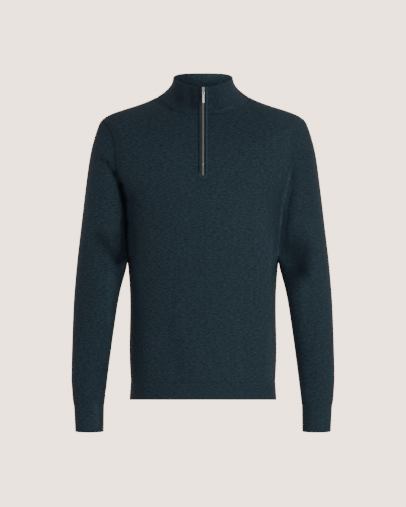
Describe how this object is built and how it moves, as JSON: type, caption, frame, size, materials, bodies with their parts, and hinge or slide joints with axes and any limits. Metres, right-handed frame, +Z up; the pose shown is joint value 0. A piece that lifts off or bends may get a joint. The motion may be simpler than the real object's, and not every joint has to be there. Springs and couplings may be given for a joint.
{
  "type": "quarter zip sweater",
  "caption": "Fine-knit long-sleeved sweater with a stand collar and a short front zip, filled out as if worn, with an open neck, hem and cuffs and a swinging pull tab.",
  "frame": {"origin": "the middle of the neck at the height where the wearer's shoulders carry the garment, at its mount shoulders", "axes": "+Z up, the front and the zip face -Y, +X is the wearer's left side"},
  "size_m": [0.5754, 0.242, 0.7873],
  "materials": {
    "knit": "fine heathered wool knit, dark blue-green, matt",
    "zip_tape": "woven tape, dark navy, matt",
    "zip_teeth": "worn nickel teeth",
    "zip_metal": "brushed nickel"
  },
  "bodies": {
    "garment": {"front": "knit", "back": "knit", "sleeve_right_upper": "knit", "sleeve_right_lower": "knit", "sleeve_left_upper": "knit", "sleeve_left_lower": "knit", "collar": "knit", "hem_band": "knit", "cuff_right": "knit", "cuff_left": "knit", "zip_placket": "knit", "zip_tape_right": "zip_tape", "zip_tape_left": "zip_tape", "zip_chain": "zip_teeth", "zip_slider": "zip_metal"},
    "pull_tab": {"zip_pull_tab": "zip_metal"}
  },
  "joints": [
    {"name": "pull_swing", "type": "hinge", "parent": "garment", "child": "pull_tab", "pos_m": [0, -0.06313, 0.02049], "axis": [-1, 0, 0], "range_deg": [0, 165]}
  ]
}
